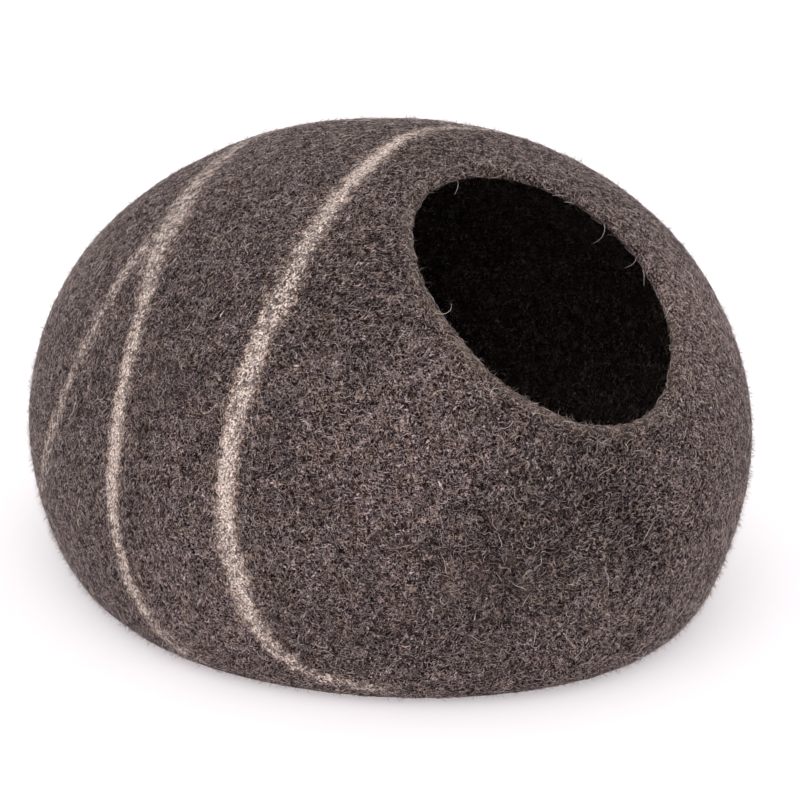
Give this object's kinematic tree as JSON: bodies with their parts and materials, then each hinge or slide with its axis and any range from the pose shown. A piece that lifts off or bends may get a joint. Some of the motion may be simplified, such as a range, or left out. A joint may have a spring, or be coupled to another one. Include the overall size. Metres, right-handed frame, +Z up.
{
  "type": "felt cat cave",
  "caption": "Pebble-shaped cat cave: a seamless hollow shell of thick grey-brown wool felt with light stripes, a flat base and an oval mouth in its upper front.",
  "frame": {"origin": "on the floor, under the middle of the length and of the width", "axes": "+Z up; the mouth faces -Y and upwards; Y is the length, front to back, and X the width"},
  "size_m": [0.3992, 0.4799, 0.2675],
  "materials": {
    "wool_felt": "thick matt grey-brown wool felt, finely mottled, with felted-in stripes of light beige wool and loose pale fibres"
  },
  "bodies": {
    "root": {"felt_shell": "wool_felt"}
  },
  "joints": []
}
